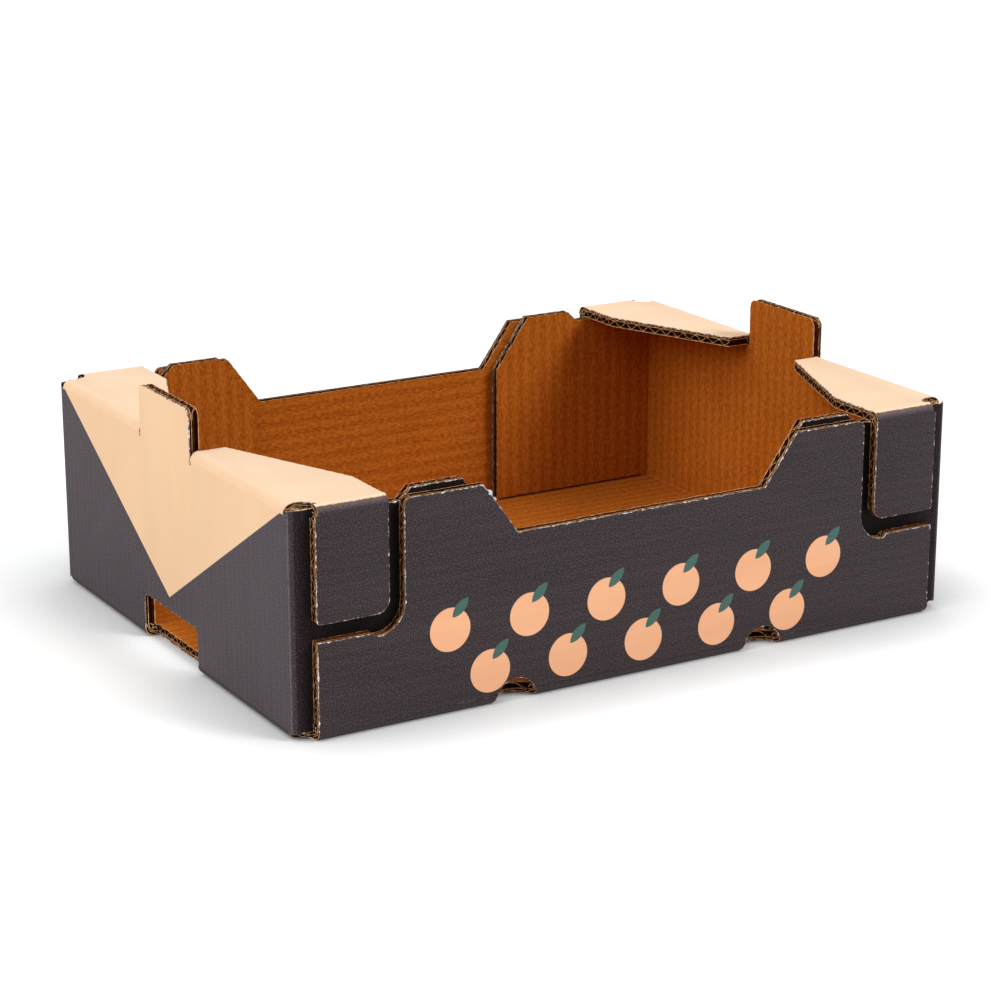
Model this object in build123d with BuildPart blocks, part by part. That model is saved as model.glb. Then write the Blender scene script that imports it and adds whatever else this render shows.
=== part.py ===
from build123d import *
import os
from math import radians, tan

# Stacking tray box, folded and glued from one die-cut sheet of double-wall corrugated board.
# X runs along the long sides, Y across the tray and Z up. The tray stands on Z = 0,
# centred on the origin. One quarter of each outline is drawn and mirrored to the others.

# Overall size of the folded tray, in millimetres
tray_length = 400.0
tray_width = 300.0
deck_height = 120.0

# The board, its creases, its knife cuts and the glue between two panels
board = 6.0
fold_outside_radius = 5.0
fold_inside_radius = 1.0
knife_gap = 0.8
glue_line = 0.3

# The board's large flutes, whose ends stand open at the knife cuts: their pitch and the
# thickness of their paper, the depths of the liners that they are glued to below the board's
# outer face, the width of a crest where it is glued, and how far in an end is hollow
flute_pitch = 7.9
flute_paper = 0.45
flute_outer_depth = 2.7
flute_inner_depth = 5.5
flute_crest_width = 1.9
flute_end_depth = 4.0

# Long side panels: a low strip to the full length, and a higher middle part with a dip. The
# shoulder is measured down from the decks, and the dip down from the shoulder.
panel_end_inset = 11.5
strip_height = 51.0
strip_top_length = 30.5
nick_depth = 2.0
channel_radius = 15.0
upper_end_inset = 60.0
shoulder_drop = 3.0
shoulder_radius = 4.0
dip_depth = 27.5
dip_length = 151.0
dip_slope = 54.0
dip_corner_radius = 2.0
arch_radius = 12.0
arch_spacing = 153.0

# Decks on the end panels, with a straight inner edge near the tray's sides and a slanting one
# on to the tabs, and the flaps that hang from them, down to a gap over the strip
deck_reach = 51.5
deck_narrow_reach = 20.0
deck_straight_length = 37.7
hanging_flap_gap = 9.0
hanging_flap_inner_radius = 7.0
hanging_flap_outer_radius = 2.0
relief_radius = 8.5
relief_from_end = 6.5
relief_from_side = 8.0

# Stacking tabs on top of the end panels, and the slots at their foot, which take the tabs of
# the tray below with some room at each side, above them and behind them
tab_width = 63.0
tab_height = 22.0
tab_radius = 5.0
slot_side_room = 2.5
slot_top_room = 3.0
slot_back_room = 1.5
slot_radius = 4.0

# Corner flaps, folded from the end panels to lie inside the long panels
flap_end_inset = 118.5
flap_plateau_inset = 67.0
flap_chamfer = 6.0
flap_lift = 1.0
corner_drop = 2.4
corner_lift = 3.5
corner_relief_radius = 12.0

# Glue spots: their size, how far each is from the tray's end, and how far the strip's is from
# the ground and the other two are below the decks
glue_spot_width = 24.0
glue_spot_height = 30.0
strip_glue_inset = 45.0
strip_glue_height = 28.0
upper_glue_inset = 80.0
upper_glue_drop = 40.0
hanging_glue_inset = 32.0
hanging_glue_drop = 30.0

half_length = tray_length / 2
half_width = tray_width / 2
deck_underside = deck_height - board
corner_crest = deck_height - corner_drop
panel_half_length = half_length - panel_end_inset
upper_half_length = half_length - upper_end_inset
strip_top_end = panel_half_length - strip_top_length
channel_floor = strip_height - nick_depth
shoulder_height = deck_height - shoulder_drop
dip_height = shoulder_height - dip_depth
dip_half_length = dip_length / 2
slope_run = 1 / tan(radians(dip_slope))
shoulder_start = dip_half_length + (shoulder_height - dip_height) * slope_run
deck_edge = half_length - deck_reach
deck_straight_start = half_width - deck_straight_length
hanging_flap_foot = strip_height + hanging_flap_gap
slit_edge = tab_width / 2 + knife_gap
slot_width = tab_width + 2 * slot_side_room
slot_height = tab_height + slot_top_room
slot_depth = board + slot_back_room
flap_face = half_width - board - glue_line
flap_inside = flap_face - board
flap_end = half_length - flap_end_inset
flap_shoulder = flap_end + (deck_height - dip_height) * slope_run
flap_plateau_end = half_length - flap_plateau_inset
crease_top = board + fold_inside_radius
crease_edge = half_width - fold_outside_radius
crease_foot = deck_height - fold_outside_radius
hollow_crest = (flute_crest_width - flute_paper) / 2
hollow_foot = (flute_pitch - flute_crest_width - flute_paper) / 2

standing = (Align.CENTER, Align.MIN)


def nearest(sketch, points):
    """The vertex of a sketch that lies nearest to each point."""
    return [sketch.vertices().sort_by_distance(point)[0] for point in points]


def round_creases(sketch, outside, inside):
    """Round the creases in a section of folded board, outside and inside."""
    fillet(nearest(sketch, outside), radius=fold_outside_radius)
    fillet(nearest(sketch, inside), radius=fold_inside_radius)


def open_flutes(start, end, run, inward):
    """The hollows of the large flutes that open at a knife cut, square or slanting.

    The cut goes from start to end on the board's outer face, the flutes run away from it,
    and inward points into the board.
    """
    start, end, run, inward = (Vector(*values) for values in (start, end, run, inward))
    across = inward.cross(run)
    cut_length = (end - start).dot(across)
    cut_slant = (end - start).dot(run)
    flutes_between = int((abs(cut_length) - 2 * hollow_foot - flute_paper) // flute_pitch)
    reach = abs(cut_slant) / 2 + flute_end_depth + knife_gap
    with BuildPart() as hollows:
        with BuildSketch(Plane(origin=(start + end) / 2, x_dir=across, z_dir=run)):
            for half_pitches in range(-flutes_between, flutes_between + 1):
                on_inner_liner = (half_pitches + flutes_between) % 2 == 0
                foot = flute_inner_depth if on_inner_liner else flute_outer_depth
                crest = (
                    flute_outer_depth + flute_paper
                    if on_inner_liner
                    else flute_inner_depth - flute_paper
                )
                with Locations((half_pitches * flute_pitch / 2, 0)):
                    Polygon(
                        (-hollow_foot, foot),
                        (hollow_foot, foot),
                        (hollow_crest, crest),
                        (-hollow_crest, crest),
                        align=None,
                    )
        extrude(amount=reach, both=True)
        with BuildSketch(Plane(origin=start, x_dir=run, z_dir=inward)):
            Polygon(
                (-knife_gap, 0),
                (flute_end_depth, 0),
                (cut_slant + flute_end_depth, cut_length),
                (cut_slant - knife_gap, cut_length),
                align=None,
            )
        extrude(amount=board, mode=Mode.INTERSECT)
    return hollows.part


# Bottom, end panels, decks and corner flaps: the inner layer of the folded board, first as a
# closed shell with all its creases rounded
with BuildPart() as inner_layer:
    with BuildSketch(Plane.XZ):
        RectangleRounded(tray_length, deck_height, fold_outside_radius, align=standing)
    extrude(amount=flap_face, both=True)
    with BuildSketch():
        RectangleRounded(tray_length, 2 * flap_face, fold_outside_radius)
    extrude(amount=deck_height, mode=Mode.INTERSECT)
    with BuildSketch(Plane.XZ):
        with Locations((0, board)):
            RectangleRounded(
                tray_length - 2 * board, deck_underside - board, fold_inside_radius, align=standing
            )
    extrude(amount=flap_inside, both=True, mode=Mode.SUBTRACT)

    # Outline of the corner flaps: what is cut away between them, along both sides
    with BuildSketch(Plane.XZ):
        with BuildLine():
            Polyline(
                (0, board),
                (panel_half_length, board),
                (panel_half_length, board + flap_lift),
                (flap_end, board + flap_lift),
                (flap_end, dip_height),
                (flap_shoulder, deck_height),
                (0, deck_height),
                close=True,
            )
        make_face()
        with BuildLine():
            Polyline(
                (flap_plateau_end, deck_height),
                (flap_plateau_end + flap_chamfer, deck_underside),
                (deck_edge, deck_underside),
                (deck_edge, deck_height),
                close=True,
            )
        make_face()
        mirror(about=Plane.YZ)
    extrude(amount=half_width, both=True, mode=Mode.SUBTRACT)

    # Mouth of the tray, between the inner edges of the decks and out to the tabs
    with BuildSketch(Plane.XY.offset(deck_underside)):
        with BuildLine():
            Polyline(
                (0, 0),
                (half_length, 0),
                (half_length, slit_edge),
                (half_length - deck_narrow_reach, slit_edge),
                (deck_edge, deck_straight_start),
                (deck_edge, flap_inside),
                (0, flap_inside),
                close=True,
            )
        make_face()
        mirror(about=Plane.XZ)
        mirror(about=Plane.YZ)
    extrude(amount=board, mode=Mode.SUBTRACT)

# Long side panels: the outer layer, folded up from the bottom along both sides
with BuildPart() as side_panel:
    with BuildSketch(Plane.YZ) as side_section:
        with BuildLine():
            Polyline(
                (flap_inside, 0),
                (half_width, 0),
                (half_width, shoulder_height),
                (half_width - board, shoulder_height),
                (half_width - board, board),
                (flap_inside, board),
                close=True,
            )
        make_face()
        round_creases(
            side_section, outside=[(half_width, 0)], inside=[(half_width - board, board)]
        )
    extrude(amount=panel_half_length, both=True)

    # Die-cut outline of the long panels: strip, channel, shoulder and dip
    with BuildSketch(Plane.XZ) as side_outline:
        with BuildLine():
            Polyline(
                (0, 0),
                (panel_half_length, 0),
                (panel_half_length, strip_height),
                (strip_top_end, strip_height),
                (strip_top_end - nick_depth, channel_floor),
                (upper_half_length, channel_floor),
                (upper_half_length, shoulder_height),
                (shoulder_start, shoulder_height),
                (dip_half_length, dip_height),
                (0, dip_height),
                close=True,
            )
        make_face()
        fillet(
            nearest(side_outline, [(upper_half_length, channel_floor)]),
            radius=channel_radius,
        )
        fillet(
            nearest(side_outline, [(upper_half_length, shoulder_height)]),
            radius=shoulder_radius,
        )
        fillet(
            nearest(side_outline, [(shoulder_start, shoulder_height), (dip_half_length, dip_height)]),
            radius=dip_corner_radius,
        )
        mirror(about=Plane.YZ)
    extrude(amount=-half_width, mode=Mode.INTERSECT)

    # Holes punched across the long creases, which stand as arches in the long panels
    with BuildSketch(Plane.XZ.offset(-half_width)):
        with GridLocations(arch_spacing, 0, 2, 1):
            Circle(arch_radius)
    extrude(amount=board + fold_inside_radius, mode=Mode.SUBTRACT)

# Hanging flap: the long edge of a deck, folded down outside the corner flap
with BuildPart() as hanging_flap:
    with BuildSketch(Plane.YZ.offset(deck_edge)) as hanging_section:
        with BuildLine():
            Polyline(
                (flap_inside, deck_height),
                (half_width, deck_height),
                (half_width, hanging_flap_foot),
                (half_width - board, hanging_flap_foot),
                (half_width - board, deck_underside),
                (flap_inside, deck_underside),
                close=True,
            )
        make_face()
        round_creases(
            hanging_section,
            outside=[(half_width, deck_height)],
            inside=[(half_width - board, deck_underside)],
        )
    extrude(amount=panel_half_length - deck_edge)
    foot_edges = hanging_flap.edges().filter_by(Axis.Y).group_by(Axis.Z)[0].sort_by(Axis.X)
    fillet(foot_edges[0], radius=hanging_flap_inner_radius)
    fillet(foot_edges[-1], radius=hanging_flap_outer_radius)

# Glue between the corner flap and the panels outside it
with BuildPart() as glue:
    with BuildSketch(Plane.XZ.offset(-flap_face)):
        with Locations(
            (half_length - strip_glue_inset, strip_glue_height),
            (half_length - upper_glue_inset, deck_height - upper_glue_drop),
            (half_length - hanging_glue_inset, deck_height - hanging_glue_drop),
        ):
            Rectangle(glue_spot_width, glue_spot_height)
    extrude(amount=-glue_line)

# Stacking tab, standing in line with the end panel between two slits
with BuildPart() as tab:
    with BuildSketch(Plane.YZ.offset(half_length - board)) as tab_outline:
        with Locations((0, deck_underside)):
            Rectangle(tab_width, board + tab_height, align=standing)
        fillet(tab_outline.vertices().group_by(Axis.Y)[-1], radius=tab_radius)
    extrude(amount=board)

# Open ends of the flutes in one quarter of the tray: the long panel's strip, its upper part
# and its dip, the hanging flap's two sides, the deck's two inner edges, and the corner flap's
# top and its slope
with BuildPart() as quarter_flutes:
    for start, end, run, inward in (
        (
            (panel_half_length, half_width, crease_top),
            (panel_half_length, half_width, strip_height),
            (-1, 0, 0),
            (0, -1, 0),
        ),
        (
            (upper_half_length, half_width, channel_floor + channel_radius),
            (upper_half_length, half_width, shoulder_height - shoulder_radius),
            (-1, 0, 0),
            (0, -1, 0),
        ),
        (
            (dip_half_length, half_width, dip_height),
            (shoulder_start, half_width, shoulder_height),
            (1, 0, 0),
            (0, -1, 0),
        ),
        (
            (deck_edge, half_width, hanging_flap_foot + hanging_flap_inner_radius),
            (deck_edge, half_width, crease_foot),
            (1, 0, 0),
            (0, -1, 0),
        ),
        (
            (panel_half_length, half_width, hanging_flap_foot + hanging_flap_outer_radius),
            (panel_half_length, half_width, crease_foot),
            (-1, 0, 0),
            (0, -1, 0),
        ),
        (
            (half_length - deck_narrow_reach, slit_edge, deck_height),
            (deck_edge, deck_straight_start, deck_height),
            (1, 0, 0),
            (0, 0, -1),
        ),
        (
            (deck_edge, deck_straight_start, deck_height),
            (deck_edge, crease_edge, deck_height),
            (1, 0, 0),
            (0, 0, -1),
        ),
        (
            (flap_shoulder, flap_face, deck_height),
            (flap_plateau_end, flap_face, deck_height),
            (0, 0, -1),
            (0, -1, 0),
        ),
        (
            (flap_end, flap_face, dip_height),
            (flap_shoulder, flap_face, deck_height),
            (0, 0, -1),
            (0, -1, 0),
        ),
    ):
        add(open_flutes(start, end, run, inward))

# Open ends of the flutes on top of a tab, and in the bottom's edge at a slot
tab_top = deck_height + tab_height
tab_flat = tab_width / 2 - tab_radius
slot_flat = slot_width / 2 - slot_radius
with BuildPart() as middle_flutes:
    add(
        open_flutes(
            (half_length, -tab_flat, tab_top), (half_length, tab_flat, tab_top), (0, 0, -1), (-1, 0, 0)
        )
    )
    add(
        open_flutes(
            (half_length - slot_depth, -slot_flat, 0),
            (half_length - slot_depth, slot_flat, 0),
            (-1, 0, 0),
            (0, 0, 1),
        )
    )

# The whole tray, one piece of folded board
with BuildPart() as tray:
    add(inner_layer.part)
    add(tab.part)
    mirror(tab.part, about=Plane.YZ)
    add(side_panel.part)
    mirror(side_panel.part, about=Plane.XZ)
    for corner_piece in (hanging_flap.part, glue.part):
        add(corner_piece)
        mirror(corner_piece, about=Plane.XZ)
        mirror(corner_piece, about=Plane.YZ)
        mirror(mirror(corner_piece, about=Plane.XZ, mode=Mode.PRIVATE), about=Plane.YZ)

    # Holes punched where the creases round a deck's corner cross. They go down to the crest of
    # the upright corner, and through the deck inside it.
    relief_places = GridLocations(
        tray_length - 2 * relief_from_end, tray_width - 2 * relief_from_side, 2, 2
    )
    with BuildSketch(Plane.XY.offset(corner_crest)):
        with relief_places:
            Circle(relief_radius)
    extrude(amount=corner_drop, mode=Mode.SUBTRACT)
    with BuildSketch(Plane.XY.offset(deck_underside)):
        with relief_places:
            Circle(relief_radius)
        Rectangle(tray_length - 2 * board, 2 * flap_inside, mode=Mode.INTERSECT)
    extrude(amount=board, mode=Mode.SUBTRACT)

    # The same relief at the corners of the bottom, up to the foot of the upright corner
    with BuildSketch():
        with GridLocations(tray_length, tray_width, 2, 2):
            Circle(corner_relief_radius)
        Rectangle(tray_length, 2 * flap_face, mode=Mode.INTERSECT)
    extrude(amount=corner_lift, mode=Mode.SUBTRACT)

    # Slots for the tabs of the tray below, cut through the end crease into the bottom
    for end in (-1, 1):
        with BuildSketch(Plane.YZ.offset(end * (half_length - slot_depth / 2))) as slot_outline:
            Rectangle(slot_width, 2 * slot_height)
            fillet(slot_outline.vertices(), radius=slot_radius)
        extrude(amount=slot_depth / 2, both=True, mode=Mode.SUBTRACT)

    # The other half of the holes across the long creases, in the bottom
    with BuildSketch():
        with GridLocations(arch_spacing, tray_width, 2, 2):
            Circle(arch_radius)
    extrude(amount=board, mode=Mode.SUBTRACT)

    # Open ends of the flutes, all round
    far_quarter = mirror(quarter_flutes.part, about=Plane.XZ, mode=Mode.PRIVATE)
    for flutes in (quarter_flutes.part, far_quarter, middle_flutes.part):
        add(flutes, mode=Mode.SUBTRACT)
        mirror(flutes, about=Plane.YZ, mode=Mode.SUBTRACT)

tray.part.label = "tray"
os.makedirs("parts", exist_ok=True)
export_step(tray.part, "parts/tray.step")
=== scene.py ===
import math
import random

import bpy
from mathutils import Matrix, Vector


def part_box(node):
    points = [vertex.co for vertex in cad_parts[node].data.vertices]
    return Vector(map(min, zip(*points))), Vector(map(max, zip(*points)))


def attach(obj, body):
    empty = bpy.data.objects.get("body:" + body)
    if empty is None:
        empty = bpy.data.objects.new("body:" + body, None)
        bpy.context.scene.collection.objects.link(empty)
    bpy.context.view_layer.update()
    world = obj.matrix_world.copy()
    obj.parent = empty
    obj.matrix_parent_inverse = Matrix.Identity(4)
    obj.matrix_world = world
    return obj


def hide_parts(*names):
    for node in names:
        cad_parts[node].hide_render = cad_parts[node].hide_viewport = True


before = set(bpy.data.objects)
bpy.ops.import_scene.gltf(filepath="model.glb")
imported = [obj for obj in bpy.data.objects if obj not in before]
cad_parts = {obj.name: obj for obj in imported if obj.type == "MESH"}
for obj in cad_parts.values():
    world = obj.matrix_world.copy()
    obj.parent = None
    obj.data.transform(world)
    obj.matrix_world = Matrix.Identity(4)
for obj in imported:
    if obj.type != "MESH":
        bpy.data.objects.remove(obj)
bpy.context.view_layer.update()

# Bottom of the tray
# The middle of one die-cut sheet of double-wall corrugated board: a white-topped printed liner
# outside, small flutes, a middle liner, large flutes and a brown liner inside, glued together.
# It lies flat between the four creases, and the corners of the sheet are punched away.

mm = 0.001
tray_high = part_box("tray")[1]
half_length = tray_high.x
half_width = tray_high.y
board = 6.0 * mm
outer_crease = 5.0 * mm
upright_crease = 3.0 * mm
inner_crease = 7.0 * mm
panel_end_inset = 11.5 * mm
panel_half_length = half_length - panel_end_inset
corner_relief = 12.0 * mm
slot_half_width = 34.0 * mm
slot_depth = 7.5 * mm
arch_radius = 12.0 * mm
arch_place = 76.5 * mm
arch_steps = 12

liner_thickness = 0.45 * mm
flute_paper = 0.42 * mm
small_flute_foot = 1.8 * mm
middle_liner_foot = 2.2 * mm
large_flute_foot = board - liner_thickness
small_flute_pitch = 5.6 * mm
large_flute_pitch = 7.9 * mm

edge_step = 1.2 * mm
edge_wander = 0.5 * mm
edge_drift = 0.6
torn_width = 0.30 * mm
torn_least = 0.2
torn_spread = 2.2
pinch_width = 0.95 * mm
pinch_depth = 0.35 * mm
flute_tear = 0.5 * mm
hair = 0.001 * mm
crease_lap = 0.1 * mm
sharp_angle = 28.0


def nodes_of(material):
    """The node tree of a new material, and the shader in it."""
    material.use_nodes = True
    return material.node_tree, material.node_tree.nodes["Principled BSDF"]


def board_place(tree):
    """Where a point is on its piece of board: along the flutes, then across them."""
    node = tree.nodes.new("ShaderNodeAttribute")
    node.attribute_name = "board_place"
    return node.outputs["Vector"]


def speckle(tree, place, scale, stretch=(1.0, 1.0, 1.0), detail=3.0, roughness=0.6):
    """Noise over the board, which may be drawn out along or across its flutes."""
    mapping = tree.nodes.new("ShaderNodeMapping")
    mapping.inputs["Scale"].default_value = stretch
    tree.links.new(place, mapping.inputs["Vector"])
    noise = tree.nodes.new("ShaderNodeTexNoise")
    noise.inputs["Scale"].default_value = scale
    noise.inputs["Detail"].default_value = detail
    noise.inputs["Roughness"].default_value = roughness
    tree.links.new(mapping.outputs["Vector"], noise.inputs["Vector"])
    return noise.outputs["Fac"]


def sum_of(tree, operation, first, second=None, third=None):
    """One step of arithmetic between sockets or plain numbers."""
    node = tree.nodes.new("ShaderNodeMath")
    node.operation = operation
    for slot, value in enumerate((first, second, third)):
        if value is None:
            continue
        if isinstance(value, (int, float)):
            node.inputs[slot].default_value = value
        else:
            tree.links.new(value, node.inputs[slot])
    return node.outputs["Value"]


def faded(tree, value, low, high):
    """A value brought to 0 at low and 1 at high, and held there beyond them."""
    node = tree.nodes.new("ShaderNodeMapRange")
    node.clamp = True
    node.inputs["From Min"].default_value = low
    node.inputs["From Max"].default_value = high
    tree.links.new(value, node.inputs["Value"])
    return node.outputs["Result"]


def blended(tree, factor, first, second):
    """One colour passing into another."""
    node = tree.nodes.new("ShaderNodeMix")
    node.data_type = "RGBA"
    tree.links.new(factor, node.inputs["Factor"])
    for name, colour in (("A", first), ("B", second)):
        socket = [s for s in node.inputs if s.name == name and s.type == "RGBA"][0]
        if isinstance(colour, tuple):
            socket.default_value = (*colour, 1.0)
        else:
            tree.links.new(colour, socket)
    return [s for s in node.outputs if s.type == "RGBA"][0]


def raised(tree, shader, height, distance):
    """Gives a surface the relief of a height."""
    bump = tree.nodes.new("ShaderNodeBump")
    bump.inputs["Strength"].default_value = 1.0
    bump.inputs["Distance"].default_value = distance
    tree.links.new(height, bump.inputs["Height"])
    tree.links.new(bump.outputs["Normal"], shader.inputs["Normal"])


def flute_ridges(tree, place, pitch):
    """The faint washboard that the flutes press into a liner: 1 on their crests, 0 between."""
    split = tree.nodes.new("ShaderNodeSeparateXYZ")
    tree.links.new(place, split.inputs["Vector"])
    turns = sum_of(tree, "MULTIPLY", split.outputs["Y"], 2 * math.pi / pitch)
    wave = sum_of(tree, "COSINE", turns)
    return sum_of(tree, "MULTIPLY_ADD", wave, 0.5, 0.5)


def brown_paper(name, colour, shade, pitch, relief):
    """Brown kraft paper, with its fibres and clouds and the flutes showing through."""
    material = bpy.data.materials.new(name)
    tree, shader = nodes_of(material)
    place = board_place(tree)
    fibres = speckle(tree, place, 650.0, (0.55, 1.0, 1.0))
    clouds = speckle(tree, place, 60.0, (0.5, 1.0, 1.0), 2.0)
    ridges = flute_ridges(tree, place, pitch)
    tone = sum_of(tree, "MULTIPLY_ADD", clouds, 0.2, sum_of(tree, "MULTIPLY", fibres, 1.1))
    tone = sum_of(tree, "MULTIPLY_ADD", ridges, 0.12, tone)
    tree.links.new(
        blended(tree, faded(tree, tone, 0.55, 0.90), shade, colour), shader.inputs["Base Color"]
    )
    shader.inputs["Roughness"].default_value = 0.95
    shader.inputs["Specular IOR Level"].default_value = 0.05
    height = sum_of(tree, "MULTIPLY_ADD", fibres, 0.25, ridges)
    raised(tree, shader, height, relief)
    return material


inside_paper = brown_paper(
    "brown_liner_inside", (0.54, 0.158, 0.017), (0.33, 0.080, 0.006), large_flute_pitch, 0.10 * mm
)
# painted shade: brown flute paper darkened far below the kraft liners, standing for the shade
# inside the flute cells
flute_brown_painted_shade = brown_paper(
    "brown_flute_paper", (0.10, 0.028, 0.006), (0.045, 0.010, 0.002), small_flute_pitch, 0.05 * mm
)
cut_brown = brown_paper(
    "cut_edge_of_brown_paper", (0.86, 0.52, 0.27), (0.34, 0.13, 0.04), small_flute_pitch, 0.02 * mm
)


def cut_white(name, colour, shade):
    """The knife-cut edge of the white-topped liner: torn white fibres over brown ones."""
    material = bpy.data.materials.new(name)
    tree, shader = nodes_of(material)
    place = tree.nodes.new("ShaderNodeTexCoord").outputs["Object"]
    chips = speckle(tree, place, 480.0, (1.0, 1.0, 1.0), 2.0)
    tree.links.new(
        blended(tree, faded(tree, chips, 0.46, 0.62), shade, colour), shader.inputs["Base Color"]
    )
    shader.inputs["Roughness"].default_value = 0.8
    shader.inputs["Specular IOR Level"].default_value = 0.2
    return material


cut_edge_white = cut_white("cut_edge_of_white_liner", (0.86, 0.80, 0.74), (0.25, 0.135, 0.075))

ink_black = (0.009, 0.003, 0.004)
ink_black_pale = (0.090, 0.061, 0.070)


def black_ink(tree, place, dark=ink_black, pale_spot=ink_black_pale):
    """Black ink on white paper, which lets a little of the paper through as pale specks."""
    specks = speckle(tree, place, 1350.0, (1.0, 1.0, 1.0), 1.0, 0.5)
    streaks = speckle(tree, place, 170.0, (0.06, 1.0, 1.0), 2.0)
    ridges = flute_ridges(tree, place, small_flute_pitch)
    pale = faded(tree, specks, 0.46, 0.74)
    pale = sum_of(tree, "MULTIPLY_ADD", streaks, 0.24, pale)
    pale = sum_of(tree, "MULTIPLY_ADD", ridges, 0.05, pale)
    return blended(tree, faded(tree, pale, 0.04, 1.2), dark, pale_spot)


def printed_paper(name, colouring, gloss=0.4):
    """A printed liner: colouring gives its colour from where a point is on the board."""
    material = bpy.data.materials.new(name)
    tree, shader = nodes_of(material)
    place = board_place(tree)
    tree.links.new(colouring(tree, place), shader.inputs["Base Color"])
    shader.inputs["Roughness"].default_value = 0.55
    shader.inputs["Specular IOR Level"].default_value = gloss
    grain = speckle(tree, place, 700.0, (0.6, 1.0, 1.0))
    height = sum_of(tree, "MULTIPLY_ADD", grain, 0.35, flute_ridges(tree, place, small_flute_pitch))
    raised(tree, shader, height, 0.045 * mm)
    return material


black_print = printed_paper("black_printed_liner", black_ink)


class Sheet:
    """A piece of board in the making: its points, its faces, and the paper each face shows."""

    def __init__(self, name):
        self.name = name
        self.points = []
        self.places = []
        self.faces = []
        self.papers = []

    def add_points(self, points, places):
        """Adds points with their places on the board, and gives their numbers."""
        first = len(self.points)
        self.points.extend(points)
        self.places.extend(places)
        return list(range(first, len(self.points)))

    def add_face(self, numbers, paper):
        """Adds a face that shows a paper."""
        self.faces.append(numbers)
        self.papers.append(paper)

    def finish(self):
        """Makes the piece, which stands for the tray's solid and rides on its body."""
        mesh = bpy.data.meshes.new(self.name)
        mesh.from_pydata(self.points, [], self.faces)
        papers = sorted(set(self.papers), key=lambda paper: paper.name)
        for paper in papers:
            mesh.materials.append(paper)
        for face, paper in zip(mesh.polygons, self.papers):
            face.material_index = papers.index(paper)
        place = mesh.attributes.new("board_place", "FLOAT_VECTOR", "POINT")
        place.data.foreach_set("vector", [value for point in self.places for value in point])
        mesh.validate()
        mesh.shade_smooth()
        for face in mesh.polygons:
            face.use_smooth = len(face.vertices) == 4
        mesh.set_sharp_from_angle(angle=math.radians(sharp_angle))
        piece = bpy.data.objects.new(self.name, mesh)
        bpy.context.scene.collection.objects.link(piece)
        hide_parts("tray")
        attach(piece, "root")


class Panel:
    """A flat panel: where its outer face lies, and which way its flutes run."""

    def __init__(self, origin, along, up, inward, flutes_up=False):
        self.origin = Vector(origin)
        self.along = Vector(along)
        self.up = Vector(up)
        self.inward = Vector(inward)
        self.flutes_up = flutes_up

    def point(self, a, b, depth):
        """A point of the panel, as far into the board as depth."""
        return self.origin + self.along * a + self.up * b + self.inward * depth

    def place(self, a, b):
        """The same point's place on the board: along its flutes, then across them."""
        return (b, a, 0.0) if self.flutes_up else (a, b, 0.0)


def arc(centre, radius, start, end, steps):
    """Points round part of a circle, with the angles in degrees."""
    angles = [math.radians(start + (end - start) * step / steps) for step in range(steps + 1)]
    return [
        (centre[0] + radius * math.cos(angle), centre[1] + radius * math.sin(angle))
        for angle in angles
    ]


def signed_area(outline):
    """Twice the area inside an outline, more than 0 where it runs anticlockwise."""
    return sum(
        a0 * b1 - a1 * b0 for (a0, b0), (a1, b1) in zip(outline, outline[1:] + outline[:1])
    )


def knife_cut(outline, on_crease, chance, reach):
    """An outline as the knife left it: a point every millimetre or so, drifting in and out a
    little where it is cut, and straight where it is creased."""
    turn = 1.0 if signed_area(outline) > 0 else -1.0
    points = []
    drift = 0.0
    after_crease = False
    for (a0, b0), (a1, b1) in zip(outline, outline[1:] + outline[:1]):
        length = math.hypot(a1 - a0, b1 - b0)
        if length < hair:
            continue
        creased = on_crease((a0 + a1) / 2, (b0 + b1) / 2)
        steps = 1 if creased else max(1, round(length / edge_step))
        for step in range(steps):
            drift += edge_drift * (chance.random() ** 2 - drift)
            held = creased or (step == 0 and after_crease)
            inward = 0.0 if held else turn * reach * drift / length
            share = step / steps
            a = a0 + (a1 - a0) * share - (b1 - b0) * inward
            b = b0 + (b1 - b0) * share + (a1 - a0) * inward
            points.append((a, b))
        after_crease = creased
    return points


def way_in(points, on_crease):
    """For each point of an outline, the way into the sheet from the cut edges beside it, and
    whether it is clear of the creases."""
    turn = 1.0 if signed_area(points) > 0 else -1.0
    ways = []
    for number, point in enumerate(points):
        before = points[number - 1]
        after = points[(number + 1) % len(points)]
        way = Vector((0.0, 0.0))
        clear = True
        for first, second in ((before, point), (point, after)):
            run = Vector(second) - Vector(first)
            if on_crease(*(Vector(first) + run / 2)):
                clear = False
            elif run.length > hair:
                way += Vector((-run.y, run.x)).normalized() * turn
        ways.append((way.normalized(), clear))
    return ways


def add_ring(sheet, panel, points, ways, amounts, top, drop):
    """Adds an outline drawn in by an amount at each point, and pressed down by drop between
    the creases."""
    ring = [
        (a + way.x * amount, b + way.y * amount)
        for (a, b), (way, clear), amount in zip(points, ways, amounts)
    ]
    return sheet.add_points(
        [panel.point(a, b, top + (drop if way[1] else 0.0)) for (a, b), way in zip(ring, ways)],
        [panel.place(a, b) for a, b in ring],
    )


def add_band(sheet, first, second, paper, left_out=()):
    """Adds the faces between two rings of points, but for those left out by their number."""
    for number in range(len(first)):
        if number in left_out:
            continue
        after = (number + 1) % len(first)
        sheet.add_face([first[number], second[number], second[after], first[after]], paper)


def creased_stretches(points, on_crease):
    """The numbers of the stretches of an outline that lie on a crease, where nothing is cut."""
    stretches = enumerate(zip(points, points[1:] + points[:1]))
    return {
        number for number, ((a0, b0), (a1, b1)) in stretches
        if on_crease((a0 + a1) / 2, (b0 + b1) / 2)
    }


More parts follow.
